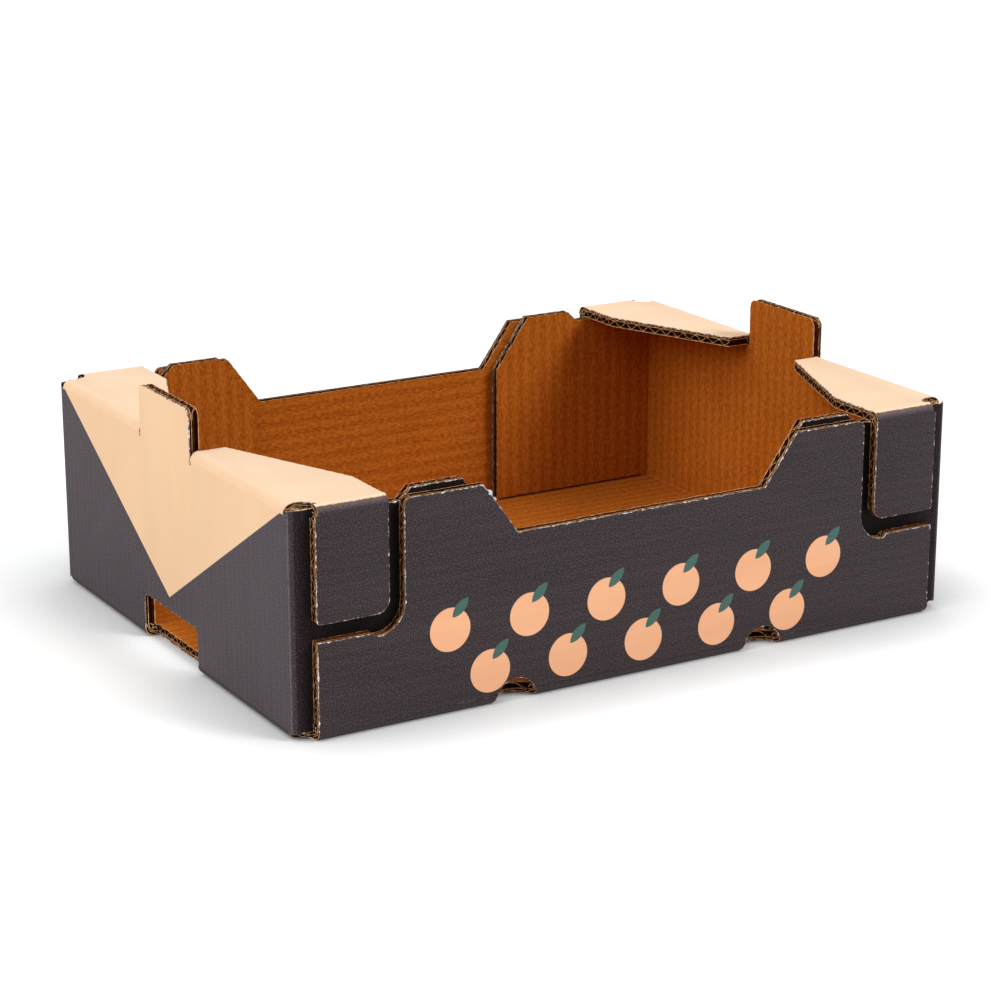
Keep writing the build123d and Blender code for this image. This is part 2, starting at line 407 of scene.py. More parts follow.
def add_liner(sheet, panel, outline, on_crease, top, foot, outside, inside, edge, seed):
    """Adds one flat liner to a sheet, between two depths of the board."""
    chance = random.Random(seed)
    points = knife_cut(outline, on_crease, chance, edge_wander)
    ways = way_in(points, on_crease)
    none = [0.0] * len(points)
    upper = add_ring(sheet, panel, points, ways, none, top, 0.0)
    lower = add_ring(sheet, panel, points, ways, none, foot, 0.0)
    sheet.add_face(upper, outside)
    sheet.add_face(lower[::-1], inside)
    add_band(sheet, upper, lower, edge)


def add_printed_liner(sheet, panel, outline, on_crease, outside, seed):
    """Adds the outer liner, whose cut edges the knife has pinched down and torn, so that the
    white of the paper shows in a ragged line."""
    chance = random.Random(seed)
    points = knife_cut(outline, on_crease, chance, 0.5 * edge_wander)
    ways = way_in(points, on_crease)
    none = [0.0] * len(points)
    creased = creased_stretches(points, on_crease)
    torn = [torn_width * (torn_least + torn_spread * chance.random() ** 3) for _ in points]
    pinched = [pinch_width] * len(points)
    upper = add_ring(sheet, panel, points, ways, pinched, 0.0, 0.0)
    slope = add_ring(sheet, panel, points, ways, torn, 0.0, 0.5 * pinch_depth)
    rim = add_ring(sheet, panel, points, ways, none, 0.0, pinch_depth)
    lower = add_ring(sheet, panel, points, ways, none, liner_thickness, pinch_depth)
    sheet.add_face(upper, outside)
    sheet.add_face(lower[::-1], flute_brown_painted_shade)
    add_band(sheet, upper, slope, outside, creased)
    add_band(sheet, slope, rim, cut_edge_white, creased)
    add_band(sheet, rim, lower, cut_edge_white)


def spans(outline, level):
    """The stretches of an outline's inside at one level."""
    crossings = []
    for (a0, b0), (a1, b1) in zip(outline, outline[1:] + outline[:1]):
        if (b0 > level) != (b1 > level):
            crossings.append(a0 + (a1 - a0) * (level - b0) / (b1 - b0))
    crossings.sort()
    return list(zip(crossings[0::2], crossings[1::2]))


wave_steps = 8
thinnest_strip = 20 * hair
shortest_flute = 4 * flute_tear


def add_flutes(sheet, panel, outline, top, foot, pitch, seed):
    """Adds a layer of wavy paper between two depths, cut a little unevenly to the outline."""
    chance = random.Random(seed)
    drawn = [(b, a) for a, b in outline] if panel.flutes_up else outline
    lowest = min(b for a, b in drawn)
    highest = max(b for a, b in drawn)
    step = pitch / wave_steps
    levels = {n * step for n in range(math.ceil(lowest / step), math.floor(highest / step) + 1)}
    levels = sorted(levels | {b for a, b in drawn})
    middle = (top + foot) / 2
    swing = (foot - top - flute_paper) / 2
    for low, high in zip(levels, levels[1:]):
        if high - low < thinnest_strip:
            continue
        low_spans = spans(drawn, low + hair)
        high_spans = spans(drawn, high - hair)
        if len(low_spans) != len(high_spans):
            continue
        for low_span, high_span in zip(low_spans, high_spans):
            if high_span[1] - high_span[0] < shortest_flute:
                continue
            points = []
            places = []
            tears = (flute_tear * chance.random(), -flute_tear * chance.random())
            for level, span in ((low, low_span), (high, high_span)):
                depth = middle - swing * math.cos(2 * math.pi * level / pitch)
                for end, tear in zip(span, tears):
                    end += tear
                    a, b = (level, end) if panel.flutes_up else (end, level)
                    for side in (-flute_paper / 2, flute_paper / 2):
                        points.append(panel.point(a, b, depth + side))
                        places.append(panel.place(a, b))
            n = sheet.add_points(points, places)
            sheet.add_face([n[0], n[2], n[6], n[4]], flute_brown_painted_shade)
            sheet.add_face([n[1], n[5], n[7], n[3]], flute_brown_painted_shade)
            sheet.add_face([n[0], n[4], n[5], n[1]], cut_brown)
            sheet.add_face([n[2], n[3], n[7], n[6]], cut_brown)


def add_board(sheet, panel, outline_at, on_crease, outside, seed):
    """Adds all five layers of a flat panel. outline_at gives the outline where its level and
    its upright creases take up given widths, and on_crease tells if a point is on a crease.
    The outer liner laps a hair over the creases, which bend away under it."""
    level = outer_crease - crease_lap
    upright = upright_crease - crease_lap
    inner = outline_at(inner_crease, inner_crease)
    add_printed_liner(
        sheet, panel, outline_at(level, upright), lambda a, b: on_crease(a, b, level, upright),
        outside, seed,
    )
    add_flutes(sheet, panel, inner, liner_thickness, small_flute_foot, small_flute_pitch, seed)
    for top, foot, inside, layer in (
        (small_flute_foot, middle_liner_foot, flute_brown_painted_shade, 1),
        (large_flute_foot, board, inside_paper, 2),
    ):
        add_liner(
            sheet, panel, inner, lambda a, b: on_crease(a, b, inner_crease, inner_crease),
            top, foot, flute_brown_painted_shade, inside, cut_brown, seed + layer,
        )
    add_flutes(sheet, panel, inner, middle_liner_foot, large_flute_foot, large_flute_pitch, seed)


crease_steps = 18
crushed_small_flutes = 0.9 * mm
crushed_small_swing = 0.2 * mm
crushed_large_flutes = 3.4 * mm
crushed_large_swing = 0.7 * mm
crushed_paper = 0.8 * mm


def add_crease(sheet, corner, direction, out_first, out_second, ends, outside, flutes_along, turn):
    """Adds a right-angled crease. corner is a point where the two outer faces would meet,
    direction runs along the crease, out_first and out_second point out of the two panels,
    ends gives where it starts and stops, for a share of the way round the bend, and turn is
    the radius of its outer face. The flutes are crushed between the liners."""
    corner = Vector(corner)
    direction = Vector(direction)
    out_first = Vector(out_first)
    out_second = Vector(out_second)
    bent = inner_crease
    for centre, depth_at, thickness, swing, top_paper, foot_paper in (
        (turn, 0.0, liner_thickness, 0.0, outside, flute_brown_painted_shade),
        (bent, crushed_small_flutes, flute_paper, crushed_small_swing, flute_brown_painted_shade, flute_brown_painted_shade),
        (bent, small_flute_foot, flute_paper, 0.0, flute_brown_painted_shade, flute_brown_painted_shade),
        (bent, crushed_large_flutes, crushed_paper, crushed_large_swing, flute_brown_painted_shade, flute_brown_painted_shade),
        (bent, large_flute_foot, liner_thickness, 0.0, flute_brown_painted_shade, inside_paper),
    ):
        rows = []
        for step in range(crease_steps + 1):
            share = step / crease_steps
            angle = share * math.pi / 2
            out = out_first * math.cos(angle) + out_second * math.sin(angle)
            bend = share * turn * math.pi / 2
            radius = centre - depth_at + swing * math.cos(4 * math.pi * share)
            points = []
            places = []
            for end in ends(share):
                middle = corner + direction * end - (out_first + out_second) * centre
                for depth in (0.0, thickness):
                    points.append(middle + out * (radius - depth))
                    places.append((end, bend, 0.0) if flutes_along else (bend, end, 0.0))
            rows.append(sheet.add_points(points, places))
        for row, after in zip(rows, rows[1:]):
            sheet.add_face([row[0], row[2], after[2], after[0]], top_paper)
            sheet.add_face([row[1], after[1], after[3], row[3]], foot_paper)
            sheet.add_face([row[0], after[0], after[1], row[1]], cut_brown)
            sheet.add_face([row[2], row[3], after[3], after[2]], cut_brown)


def from_to(start, stop):
    """Plain ends for a crease that is cut square."""
    return lambda share: (start, stop)


def mirrored(outline):
    """A half outline, drawn from the middle out to one side, closed by its mirror image."""
    return outline + [(-a, b) for a, b in reversed(outline)]


def relief_share(crease):
    """How far round the corner relief of the bottom reaches, where a crease takes up a width."""
    return math.sqrt(corner_relief**2 - crease**2)


def bottom_outline(crease, _):
    """One quarter of the bottom is drawn, from its slot to its arch, and mirrored to the others."""
    long_edge = half_width - crease
    end_edge = half_length - crease
    start = math.degrees(math.asin(crease / corner_relief))
    quarter = [
        (half_length - slot_depth, slot_half_width),
        (end_edge, slot_half_width),
        (end_edge, half_width - relief_share(crease)),
    ]
    quarter += arc((half_length, half_width), corner_relief, 270 - start, 180 + start, 8)[1:]
    quarter += [(panel_half_length, long_edge)]
    quarter += arch_edge(long_edge)
    half = quarter + [(-a, b) for a, b in reversed(quarter)]
    return half + [(a, -b) for a, b in reversed(half)]


def arch_edge(edge):
    """The half circle punched at the bottom crease, from the tray's end towards its middle."""
    depth = half_width - edge
    start = math.degrees(math.asin(depth / arch_radius))
    return arc((arch_place, half_width), arch_radius, -start, -180 + start, arch_steps)


def bottom_crease_test(a, b, crease, _):
    """The bottom's long edges and its ends beside the slots are creased."""
    long_side = abs(abs(b) - (half_width - crease)) < hair
    end_side = abs(abs(a) - (half_length - crease)) < hair
    return long_side or end_side


bottom_panel = Panel((0, 0, 0), (1, 0, 0), (0, 1, 0), (0, 0, 1))
bottom = Sheet("bottom")
add_board(bottom, bottom_panel, bottom_outline, bottom_crease_test, black_print, 10)
bottom.finish()

# Long side panels
# The outer layer of the tray's sides, folded up from the bottom along a rounded crease.
# Each is a low strip with a higher middle part, dipped between two shoulders, and is glued
# to the corner flaps inside it.

tab_top = tray_high.z
tab_height = 22.0 * mm
deck_height = tab_top - tab_height
strip_height = 51.0 * mm
strip_top_length = 30.5 * mm
strip_top_end = panel_half_length - strip_top_length
nick = 2.0 * mm
channel_radius = 15.0 * mm
upper_end_inset = 60.0 * mm
upper_half_length = half_length - upper_end_inset
shoulder_drop = 3.0 * mm
shoulder_height = deck_height - shoulder_drop
shoulder_radius = 4.0 * mm
dip_depth = 27.5 * mm
dip_height = shoulder_height - dip_depth
dip_half_length = 75.5 * mm
dip_angle = 54.0
dip_slope = math.tan(math.radians(dip_angle))
shoulder_start = dip_half_length + (shoulder_height - dip_height) / dip_slope


def side_outline(crease, _):
    """Half of a long panel's outline is drawn from its middle, low edge first."""
    start = math.degrees(math.asin(crease / arch_radius))
    half = arc((arch_place, 0.0), arch_radius, 180 - start, start, arch_steps)
    half += [
        (panel_half_length, crease),
        (panel_half_length, strip_height),
        (strip_top_end, strip_height),
        (strip_top_end - nick, strip_height - nick),
    ]
    channel_floor = strip_height - nick
    channel_centre = (upper_half_length + channel_radius, channel_floor + channel_radius)
    half += arc(channel_centre, channel_radius, 270, 180, 8)
    shoulder_centre = (upper_half_length - shoulder_radius, shoulder_height - shoulder_radius)
    half += arc(shoulder_centre, shoulder_radius, 0, 90, 5)
    half += [(shoulder_start, shoulder_height), (dip_half_length, dip_height)]
    return mirrored(half)


def side_crease_test(a, b, crease, _):
    """A long panel's foot is creased."""
    return abs(b - crease) < hair


def arch_end(direction):
    """How far a crease runs to the side of an arch, for a share of the way round the bend."""
    def reach(share):
        off = outer_crease * abs(1 - 2 * share)
        return arch_place + direction * math.sqrt(arch_radius**2 - off**2)
    return reach


motif_spacing = 46.0 * mm
motif_radius = 11.5 * mm
upper_row = 45.0 * mm
lower_row = 19.0 * mm
leaf_radius = 9.0 * mm
leaf_arc_centres = ((1.5 * mm, 15.0 * mm), (10.3 * mm, 6.2 * mm))
print_blur = 0.12 * mm
ink_dot = (0.93, 0.475, 0.262)
ink_dot_deep = (0.91, 0.445, 0.236)
ink_teal = (0.052, 0.130, 0.112)


def side_print(tree, place):
    """Black ink, with two staggered rows of round peach dots, each with a teal leaf."""
    split = tree.nodes.new("ShaderNodeSeparateXYZ")
    tree.links.new(place, split.inputs["Vector"])
    along = split.outputs["X"]
    up = split.outputs["Y"]
    colour = black_ink(tree, place)
    clouds = speckle(tree, place, 45.0, (0.4, 1.0, 1.0), 3.0)
    dot_ink = blended(tree, faded(tree, clouds, 0.35, 0.7), ink_dot, ink_dot_deep)
    for height, offset, reach in (
        (lower_row, 0.0, 2.5 * motif_spacing),
        (upper_row, 0.5 * motif_spacing, 3.0 * motif_spacing),
    ):
        cell = sum_of(tree, "DIVIDE", sum_of(tree, "ADD", along, offset), motif_spacing)
        nearest = sum_of(tree, "ROUND", cell)
        across = sum_of(tree, "MULTIPLY", sum_of(tree, "SUBTRACT", cell, nearest), motif_spacing)
        above = sum_of(tree, "SUBTRACT", up, height)
        within = sum_of(tree, "LESS_THAN", sum_of(tree, "ABSOLUTE", along), reach)
        gap = distance_to(tree, across, above, 0.0, 0.0)
        dot = sum_of(tree, "MULTIPLY", within, faded_edge(tree, gap, motif_radius))
        colour = blended(tree, dot, colour, dot_ink)
        first, second = [distance_to(tree, across, above, *centre) for centre in leaf_arc_centres]
        leaf = sum_of(tree, "MAXIMUM", first, second)
        leaf = sum_of(tree, "MULTIPLY", within, faded_edge(tree, leaf, leaf_radius))
        colour = blended(tree, leaf, colour, ink_teal)
    return colour


def distance_to(tree, across, above, centre_across, centre_above):
    """The distance from a point to the middle of a shape."""
    square_across = sum_of(tree, "POWER", sum_of(tree, "SUBTRACT", across, centre_across), 2.0)
    square_above = sum_of(tree, "POWER", sum_of(tree, "SUBTRACT", above, centre_above), 2.0)
    return sum_of(tree, "SQRT", sum_of(tree, "ADD", square_across, square_above))


def faded_edge(tree, distance, radius):
    """1 inside a radius and 0 outside it, over a printed edge a fraction of a millimetre wide."""
    return faded(tree, distance, radius + print_blur, radius - print_blur)


side_liner = printed_paper("side_printed_liner", side_print)
outer_reach = arch_end(1)
inner_reach = arch_end(-1)
foot_stretches = (
    lambda share: (-panel_half_length, -outer_reach(share)),
    lambda share: (-inner_reach(share), inner_reach(share)),
    lambda share: (outer_reach(share), panel_half_length),
)

for name, side in (("front", -1), ("back", 1)):
    panel = Panel((0, side * half_width, 0), (1, 0, 0), (0, 0, 1), (0, -side, 0))
    sheet = Sheet(name + "_side_panel")
    add_board(sheet, panel, side_outline, side_crease_test, side_liner, 20 + side)
    for stretch in foot_stretches:
        add_crease(
            sheet, (0, side * half_width, 0), (1, 0, 0), (0, 0, -1), (0, side, 0),
            stretch, black_print, True, outer_crease,
        )
    sheet.finish()

# End panels
# Folded up from the bottom, with upright flutes. A stacking tab stands up between two slits
# in the middle of each, over a slot at the foot that takes the tab of the tray below.

flap_inset = 6.3 * mm
flap_face = half_width - flap_inset
tab_half_width = 31.5 * mm
tab_radius = 5.0 * mm
knife_gap = 0.8 * mm
slit_edge = tab_half_width + knife_gap
slot_height = 25.0 * mm
slot_radius = 4.0 * mm
field_point = 32.5 * mm
field_slope = 0.61
field_blur = 0.15 * mm
# painted sheen: the end panels' black ink is paler than the long panels'
ink_black_painted_sheen = (0.030, 0.018, 0.025)
ink_black_painted_sheen_pale = (0.130, 0.106, 0.122)
ink_peach = (0.95, 0.632, 0.375)
ink_peach_deep = (0.93, 0.600, 0.350)


def end_outline(crease, upright):
    """Half of an end panel's outline, from the top of the slot round to the tab."""
    slot_centre = (slot_half_width - slot_radius, slot_height - slot_radius)
    top = deck_height - crease
    slit_foot = deck_height - inner_crease
    half = arc(slot_centre, slot_radius, 90, 0, 5)
    half += [(slot_half_width, crease), (flap_face - upright, crease)]
    half += [(flap_face - upright, top), (slit_edge, top)]
    half += [(slit_edge, slit_foot), (tab_half_width, slit_foot)]
    half += arc((tab_half_width - tab_radius, tab_top - tab_radius), tab_radius, 0, 90, 6)
    return mirrored(half)


def end_crease_test(a, b, crease, upright):
    """An end panel is creased at its foot, at its sides and under its decks."""
    foot = abs(b - crease) < hair
    side = abs(abs(a) - (flap_face - upright)) < hair
    top = abs(b - (deck_height - crease)) < hair and abs(a) > slit_edge + hair
    return foot or side or top


def black_ink_painted_sheen(tree, place):
    """Black ink painted paler than on the long panels, as a painted sheen of the end panels."""
    return black_ink(tree, place, ink_black_painted_sheen, ink_black_painted_sheen_pale)


def peach_ink(tree, place, even=ink_peach, cloud=ink_peach_deep):
    """Peach ink, nearly even, with slow clouds."""
    clouds = speckle(tree, place, 45.0, (0.4, 1.0, 1.0), 3.0)
    return blended(tree, faded(tree, clouds, 0.35, 0.7), even, cloud)


def end_print(tree, place):
    """Black ink with a peach field that comes down to a point in the middle of the panel."""
    split = tree.nodes.new("ShaderNodeSeparateXYZ")
    tree.links.new(place, split.inputs["Vector"])
    aside = sum_of(tree, "ABSOLUTE", split.outputs["Y"])
    line = sum_of(tree, "MULTIPLY_ADD", aside, field_slope, field_point)
    over = sum_of(tree, "SUBTRACT", split.outputs["X"], line)
    field = faded(tree, over, -field_blur, field_blur)
    return blended(tree, field, black_ink_painted_sheen(tree, place), peach_ink(tree, place))


end_liner = printed_paper("end_printed_liner", end_print)

for name, end in (("left", -1), ("right", 1)):
    panel = Panel((end * half_length, 0, 0), (0, 1, 0), (0, 0, 1), (-end, 0, 0), True)
    sheet = Sheet(name + "_end_panel")
    add_board(sheet, panel, end_outline, end_crease_test, end_liner, 40 + end)
    for side in (-1, 1):
        add_crease(
            sheet, (end * half_length, 0, 0), (0, side, 0), (0, 0, -1), (end, 0, 0),
            from_to(slot_half_width, half_width - relief_share(outer_crease)),
            black_print, False, outer_crease,
        )
    sheet.finish()

# Corner flaps
# Folded round from the sides of the end panels to lie inside the long panels and glued there.
# Their tops stand up level with the decks, in view behind the long panels' shoulders.

flap_end_inset = 118.5 * mm
flap_end = half_length - flap_end_inset
flap_shoulder = flap_end + (deck_height - dip_height) / dip_slope
plateau_inset = 67.0 * mm
plateau_end = half_length - plateau_inset
chamfer = 6.0 * mm
flap_lift = 1.0 * mm
flap_foot = board + flap_lift
corner_foot = 3.5 * mm
corner_drop = 2.4 * mm
corner_crest = deck_height - corner_drop
deck_underside = deck_height - board
relief_end_inset = 6.5 * mm
relief_centre_length = half_length - relief_end_inset
deck_relief = 8.5 * mm
# painted shade: the corner flaps' black ink darkens towards the hanging flap over this reach
painted_shade_reach = 32.0 * mm
painted_shade_power = 0.3
joint_gloss = 0.12
# painted highlight: a pale line along the upright corner's bend, where it catches the light
corner_highlight_middle = 1.6 * mm
corner_highlight_least = 0.2 * mm
corner_highlight_spread = 1.4 * mm
corner_highlight_fade = 1.6 * mm
# painted shade: nearly black ink for the strip beside the hanging flap's edge
ink_black_painted_shade = (0.003, 0.001, 0.001)
ink_black_painted_shade_pale = (0.014, 0.010, 0.011)
# painted highlight: the pale ink of that line
painted_highlight_ink = (0.190, 0.165, 0.178)


def joint_print_with_painted_shade(tree, place):
    """Black ink as elsewhere near the corner, darkened towards the hanging flap as painted shade.
    """
    split = tree.nodes.new("ShaderNodeSeparateXYZ")
    tree.links.new(place, split.inputs["Vector"])
    corner = half_length - upright_crease
    share = faded(tree, split.outputs["Y"], corner, corner - painted_shade_reach)
    share = sum_of(tree, "POWER", share, painted_shade_power)
    painted_shade_ink = black_ink(tree, place, ink_black_painted_shade, ink_black_painted_shade_pale)
    return blended(tree, share, black_ink(tree, place), painted_shade_ink)


def corner_print_with_painted_highlight(tree, place):
    """Black ink round the upright corner, with a pale line along the bend as a painted highlight.
    """
    split = tree.nodes.new("ShaderNodeSeparateXYZ")
    tree.links.new(place, split.inputs["Vector"])
    off = sum_of(tree, "ABSOLUTE", sum_of(tree, "SUBTRACT", split.outputs["X"], corner_highlight_middle))
    wear_and_highlight_noise = speckle(tree, place, 500.0, (1.0, 0.3, 1.0), 3.0, 0.7)
    wear_and_highlight = sum_of(tree, "MULTIPLY_ADD", wear_and_highlight_noise, corner_highlight_spread, corner_highlight_least)
    wear_and_highlight = faded(tree, sum_of(tree, "SUBTRACT", wear_and_highlight, off), 0.0, corner_highlight_fade)
    to_side = faded(tree, split.outputs["X"], 0.0, upright_crease * math.pi / 2)
    ink = blended(tree, to_side, black_ink_painted_sheen(tree, place), black_ink(tree, place))
    return blended(tree, wear_and_highlight, ink, painted_highlight_ink)


joint_liner_with_painted_shade = printed_paper("joint_printed_liner", joint_print_with_painted_shade, joint_gloss)
corner_liner_with_painted_highlight = printed_paper("corner_printed_liner", corner_print_with_painted_highlight)


def flap_outline(_, upright):
    """A corner flap's outline, from its foot at the crease round to the top."""
    side = half_length - upright
    relief_start = relief_centre_length - deck_relief
    return [
        (side, corner_foot),
        (side, corner_crest),
        (relief_start, corner_crest),
        (relief_start, deck_underside),
        (plateau_end + chamfer, deck_underside),
        (plateau_end, deck_height),
        (flap_shoulder, deck_height),
        (flap_end, dip_height),
        (flap_end, flap_foot),
        (panel_half_length, flap_foot),
        (panel_half_length, corner_foot),
    ]


def flap_crease_test(a, b, _, upright):
    """A corner flap is creased where it leaves the end panel."""
    return abs(a - (half_length - upright)) < hair


for end_name, end in (("left", -1), ("right", 1)):
    for side_name, side in (("front", -1), ("back", 1)):
        panel = Panel((0, side * flap_face, 0), (end, 0, 0), (0, 0, 1), (0, -side, 0), True)
        sheet = Sheet(end_name + "_" + side_name + "_corner_flap")
        seed = 60 + 6 * end + 3 * side
        add_board(sheet, panel, flap_outline, flap_crease_test, joint_liner_with_painted_shade, seed)
        add_crease(
            sheet, (end * half_length, side * flap_face, 0), (0, 0, 1), (end, 0, 0), (0, side, 0),
            from_to(corner_foot, corner_crest), corner_liner_with_painted_highlight, False, upright_crease,
        )
        sheet.finish()

# Decks
# Folded inward from the top of the end panels on both sides of the tabs, to carry the tray
# above. Their inner edges run slanting from near the tab to the full reach at the sides.

deck_reach = 51.5 * mm
deck_edge = half_length - deck_reach
deck_narrow_reach = 20.0 * mm
deck_straight_length = 37.7 * mm
deck_straight_start = half_width - deck_straight_length
relief_side_inset = 6.0 * mm
relief_centre_width = half_width - relief_side_inset
deck_relief_across = 6.5 * mm
crease_stop_inset = 2.0 * mm
# painted sheen: the decks' peach is paler than the end panels'
ink_peach_painted_sheen = (0.95, 0.695, 0.475)
ink_peach_painted_sheen_deep = (0.94, 0.665, 0.445)


def relief_edge(end_line, side_line, steps):
    """The edge of the oval punched at a deck's corner, from its end crease to its side crease."""
    first = math.asin((end_line - relief_centre_length) / deck_relief)
    last = math.asin((side_line - relief_centre_width) / deck_relief_across)
    start = 1.5 * math.pi + first
    stop = math.pi - last
    angles = [start + (stop - start) * step / steps for step in range(steps + 1)]
    return [
        (
            relief_centre_length + deck_relief * math.cos(angle),
            relief_centre_width + deck_relief_across * math.sin(angle),
        )
        for angle in angles
    ]


def deck_outline(crease, _):
    """A deck's outline: end crease, punched corner, side crease and slanting inner edge."""
    end_line = half_length - crease
    side_line = half_width - crease
    outline = [(end_line, slit_edge)]
    outline += relief_edge(end_line, side_line, 10)
    outline += [
        (deck_edge, side_line),
        (deck_edge, deck_straight_start),
        (half_length - deck_narrow_reach, slit_edge),
    ]
    return outline


def deck_crease_test(a, b, crease, _):
    """A deck is creased at the end panel and at its hanging flap."""
    end_side = abs(a - (half_length - crease)) < hair
    long_side = abs(b - (half_width - crease)) < hair
    return end_side or long_side


def deck_ink_painted_sheen(tree, place):
    """Peach ink painted paler than on the end panels, as a painted sheen of the decks' top faces.
    """
    return peach_ink(tree, place, ink_peach_painted_sheen, ink_peach_painted_sheen_deep)


def deck_crease_print(tree, place):
    """The peach of the end panel passing into the deck's paler peach with its painted sheen, round
    the crease.
    """
    split = tree.nodes.new("ShaderNodeSeparateXYZ")
    tree.links.new(place, split.inputs["Vector"])
    round_bend = faded(tree, split.outputs["X"], 0.0, outer_crease * math.pi / 2)
    return blended(tree, round_bend, peach_ink(tree, place), deck_ink_painted_sheen(tree, place))


deck_liner = printed_paper("deck_printed_liner", deck_ink_painted_sheen)
deck_crease_liner = printed_paper("deck_crease_printed_liner", deck_crease_print)
stop_lines = (half_length - crease_stop_inset, half_width - crease_stop_inset)
at_end_crease, at_side_crease = relief_edge(*stop_lines, 1)
end_crease_stop = at_end_crease[1]
side_crease_stop = at_side_crease[0]

for end_name, end in (("left", -1), ("right", 1)):
    for side_name, side in (("front", -1), ("back", 1)):
        panel = Panel((0, 0, deck_height), (end, 0, 0), (0, side, 0), (0, 0, -1))
        sheet = Sheet(end_name + "_" + side_name + "_deck")
        seed = 80 + 6 * end + 3 * side
        add_board(sheet, panel, deck_outline, deck_crease_test, deck_liner, seed)
        add_crease(
            sheet, (end * half_length, 0, deck_height), (0, side, 0), (end, 0, 0), (0, 0, 1),
            from_to(slit_edge, end_crease_stop), deck_crease_liner, False, outer_crease,
        )
        sheet.finish()

# Hanging flaps
# The long edges of the decks, folded down outside the corner flaps and glued there, so that
# the decks stay square. Their ink has rubbed off along the fold.

hanging_gap = 9.0 * mm
hanging_foot = strip_height + hanging_gap
hanging_inner_radius = 7.0 * mm
hanging_outer_radius = 2.0 * mm
ink_change_start = 2.6 * mm
ink_change_stop = 3.0 * mm
ink_change_wander = 3.0 * mm
wear_middle = 3.6 * mm
wear_reach = 5.0 * mm
wear_held_back = 1.2 * mm
wear_fade = 0.9 * mm
rubbed_brown = (0.13, 0.070, 0.058)


def hanging_outline(crease, _):
    """A hanging flap's outline, with its two lower corners rounded."""
    inner_centre = (deck_edge + hanging_inner_radius, hanging_foot + hanging_inner_radius)
    outer_centre = (panel_half_length - hanging_outer_radius, hanging_foot + hanging_outer_radius)
    outline = [(deck_edge, deck_height - crease)]
    outline += arc(inner_centre, hanging_inner_radius, 180, 270, 7)
    outline += arc(outer_centre, hanging_outer_radius, 270, 360, 4)
    outline += [(panel_half_length, deck_height - crease)]
    return outline


def hanging_crease_test(a, b, crease, _):
    """A hanging flap is creased along its top."""
    return abs(b - (deck_height - crease)) < hair


def fold_print(tree, place):
    """Where the peach of the deck meets the black of the flap: a rubbed, speckled line."""
    split = tree.nodes.new("ShaderNodeSeparateXYZ")
    tree.links.new(place, split.inputs["Vector"])
    wear_and_highlight_noise = speckle(tree, place, 800.0, (1.0, 1.0, 1.0), 3.0, 0.7)
    shift = sum_of(tree, "MULTIPLY_ADD", wear_and_highlight_noise, ink_change_wander, -0.5 * ink_change_wander)
    round_bend = sum_of(tree, "ADD", split.outputs["Y"], shift)
    to_black = faded(tree, round_bend, ink_change_start, ink_change_stop)
    colour = blended(tree, to_black, deck_ink_painted_sheen(tree, place), black_ink(tree, place))
    off = sum_of(tree, "ABSOLUTE", sum_of(tree, "SUBTRACT", split.outputs["Y"], wear_middle))
    wear_and_highlight = sum_of(tree, "MULTIPLY_ADD", wear_and_highlight_noise, wear_reach, -wear_held_back)
    wear_and_highlight = sum_of(tree, "SUBTRACT", wear_and_highlight, off)
    wear_and_highlight = faded(tree, wear_and_highlight, 0.0, wear_fade)
    return blended(tree, wear_and_highlight, colour, rubbed_brown)


fold_liner = printed_paper("rubbed_fold_liner", fold_print)

for end_name, end in (("left", -1), ("right", 1)):
    for side_name, side in (("front", -1), ("back", 1)):
        panel = Panel((0, side * half_width, 0), (end, 0, 0), (0, 0, 1), (0, -side, 0))
        sheet = Sheet(end_name + "_" + side_name + "_hanging_flap")
        seed = 100 + 6 * end + 3 * side
        add_board(sheet, panel, hanging_outline, hanging_crease_test, black_print, seed)
        add_crease(
            sheet, (0, side * half_width, deck_height), (end, 0, 0), (0, 0, 1), (0, side, 0),
            from_to(deck_edge, side_crease_stop), fold_liner, True, outer_crease,
        )
        sheet.finish()

# Floor, white studio and camera
# A white floor, darker close under the tray from its shadow and a painted shadow that dims
# its glow there, runs on into a white background. Soft light comes from above, more of it
# from high on the left, and a little harder from in front.

floor_reach = 40.0
floor_drop = 0.2 * mm
floor_seen = (0.60, 0.60, 0.60)
floor_unseen = (0.75, 0.75, 0.75)
floor_glow = 0.55
# painted shadow: how far and how steeply the floor's glow dims near the tray
painted_shadow_reach = 60.0 * mm
painted_shadow_power = 2.0

floor_mesh = bpy.data.meshes.new("floor")
floor_corners = ((-1, -1), (1, -1), (1, 1), (-1, 1))
floor_mesh.from_pydata(
    [(x * floor_reach, y * floor_reach, 0) for x, y in floor_corners], [], [(0, 1, 2, 3)]
)
floor = bpy.data.objects.new("floor", floor_mesh)
bpy.context.scene.collection.objects.link(floor)
floor.location.z = -floor_drop
floor_paint = bpy.data.materials.new("white_floor")
tree, shader = nodes_of(floor_paint)
seen = tree.nodes.new("ShaderNodeLightPath").outputs["Is Camera Ray"]
tree.links.new(blended(tree, seen, floor_unseen, floor_seen), shader.inputs["Base Color"])
shader.inputs["Roughness"].default_value = 0.9
shader.inputs["Specular IOR Level"].default_value = 0.0
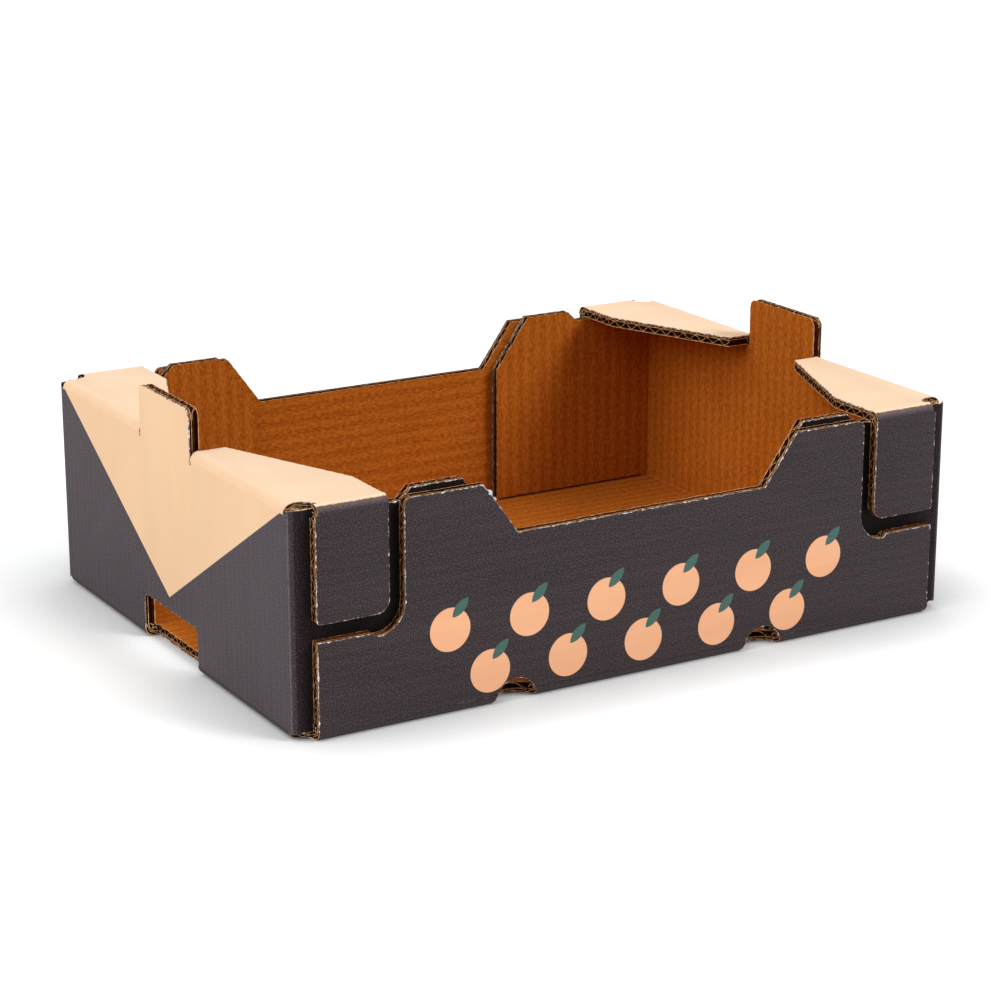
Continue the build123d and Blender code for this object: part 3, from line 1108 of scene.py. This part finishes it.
# painted shadow: the floor's glow dims where the tray is close around it
painted_shadow_probe = tree.nodes.new("ShaderNodeAmbientOcclusion")
painted_shadow_probe.samples = 4
painted_shadow_probe.inputs["Distance"].default_value = painted_shadow_reach
glow = tree.nodes.new("ShaderNodeEmission")
glow.inputs["Color"].default_value = (0.97, 0.988, 1.0, 1.0)
glow_share_outside_painted_shadow = sum_of(tree, "POWER", painted_shadow_probe.outputs["AO"], painted_shadow_power)
glow_strength = sum_of(tree, "MULTIPLY", sum_of(tree, "MULTIPLY", seen, floor_glow), glow_share_outside_painted_shadow)
tree.links.new(glow_strength, glow.inputs["Strength"])
both = tree.nodes.new("ShaderNodeAddShader")
tree.links.new(shader.outputs["BSDF"], both.inputs[0])
tree.links.new(glow.outputs["Emission"], both.inputs[1])
tree.links.new(both.outputs["Shader"], tree.nodes["Material Output"].inputs["Surface"])
floor_mesh.materials.append(floor_paint)

sky_low = 0.2
sky_rise = 0.35

world = bpy.data.worlds.new("white_studio")
world.use_nodes = True
world.cycles.sampling_method = "NONE"
bpy.context.scene.world = world
tree = world.node_tree
sky = tree.nodes["Background"]
sky.inputs["Color"].default_value = (1.0, 1.0, 1.0, 1.0)
seen = tree.nodes.new("ShaderNodeLightPath").outputs["Is Camera Ray"]
split = tree.nodes.new("ShaderNodeSeparateXYZ")
direction = tree.nodes.new("ShaderNodeTexCoord").outputs["Generated"]
tree.links.new(direction, split.inputs["Vector"])
height = sum_of(tree, "MAXIMUM", split.outputs["Z"], 0.0)
sky_strength = sum_of(tree, "MULTIPLY_ADD", height, sky_rise, sky_low)
lacking = sum_of(tree, "SUBTRACT", 1.0, sky_strength)
sky_strength = sum_of(tree, "MULTIPLY_ADD", seen, lacking, sky_strength)
tree.links.new(sky_strength, sky.inputs["Strength"])


def far_lamp(name, place, spread, power):
    """A lamp so far off that it lights the whole floor alike, as soft as it is wide."""
    light = bpy.data.lights.new(name, "SUN")
    light.angle = math.radians(spread)
    light.energy = power
    lamp = bpy.data.objects.new(name, light)
    bpy.context.scene.collection.objects.link(lamp)
    lamp.location = place
    lamp.rotation_euler = (-Vector(place)).to_track_quat("-Z", "Y").to_euler()


far_lamp("left_lamp", (-1.5, 0.1, 1.3), 60.0, 1.75)
far_lamp("front_lamp", (1.1, -1.3, 1.2), 24.0, 1.85)

camera_place = (-0.7436, -1.2613, 0.5008)
camera_turn = 30.6
camera_dip = 16.93
focal_pixels = 2731.9
frame_pixels = 1000
camera_data = bpy.data.cameras.new("camera")
camera_data.sensor_width = 36.0
camera_data.lens = focal_pixels * camera_data.sensor_width / frame_pixels
camera_data.clip_start = 0.01
camera = bpy.data.objects.new("camera", camera_data)
bpy.context.scene.collection.objects.link(camera)
camera.location = camera_place
camera.rotation_euler = (math.radians(90 - camera_dip), 0.0, -math.radians(camera_turn))
bpy.context.scene.camera = camera
bpy.context.scene.cycles.diffuse_bounces = 3
bpy.context.scene.view_settings.view_transform = "Standard"
